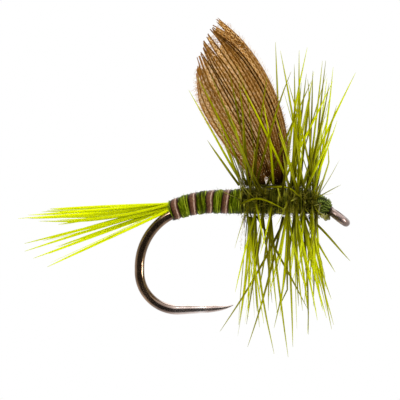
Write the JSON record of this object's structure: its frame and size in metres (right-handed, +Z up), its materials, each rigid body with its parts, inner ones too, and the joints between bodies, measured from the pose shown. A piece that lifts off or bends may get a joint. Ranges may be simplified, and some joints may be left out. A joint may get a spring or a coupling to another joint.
{
  "type": "dry fly",
  "caption": "Dry fly with an upright feather wing, fanned hackle, quill-ribbed floss body and fibre tail, tied on a barbless hook with a down-turned eye.",
  "frame": {"origin": "centre of the hook eye's bore", "axes": "+X the way the fly faces, along the straight shank; +Z up, towards the wing; +Y the fly's left side. The eye's bore tilts forward of +Z."},
  "size_m": [0.0203, 0.0176, 0.0204],
  "materials": {
    "bronzed_wire": "dark bronzed, polished",
    "silk_thread": "waxed twisted silk",
    "green_floss": "loose floss with a soft sheen",
    "thorax_floss": "loose floss, darker",
    "brown_quill": "two-tone stripped quill",
    "wing_barb": "mottled feather",
    "hackle_stem": "bare feather stem",
    "hackle_barb": "dyed feather barbs, glossy",
    "down": "pale soft down",
    "tail_fibre": "dyed feather barbs, glossy",
    "varnish": "clear set varnish"
  },
  "bodies": {
    "root": {"abdomen_floss": "green_floss", "crossing_hackle_barbs": "hackle_barb", "front_hackle_barbs_1": "hackle_barb", "front_hackle_barbs_2": "hackle_barb", "front_hackle_barbs_3": "hackle_barb", "front_hackle_barbs_4": "hackle_barb", "front_hackle_barbs_5": "hackle_barb", "front_hackle_stem": "hackle_stem", "hackle_down": "down", "hackle_stem_butts": "hackle_stem", "head_cement": "varnish", "head_wraps": "silk_thread", "hook": "bronzed_wire", "left_wing_slip": "wing_barb", "rear_hackle_barbs_1": "hackle_barb", "rear_hackle_barbs_2": "hackle_barb", "rear_hackle_barbs_3": "hackle_barb", "rear_hackle_barbs_4": "hackle_barb", "rear_hackle_stem": "hackle_stem", "rib_quill": "brown_quill", "rib_tag": "brown_quill", "right_wing_slip": "wing_barb", "stray_hackle_barbs": "hackle_barb", "tail_butts": "tail_fibre", "tail_lower_clump": "tail_fibre", "tail_middle_fibres": "tail_fibre", "tail_upper_clump": "tail_fibre", "thorax_floss": "thorax_floss", "thread_underbody": "silk_thread", "whip_finish": "silk_thread", "wing_butts": "wing_barb", "wing_lashing": "silk_thread"}
  },
  "joints": []
}
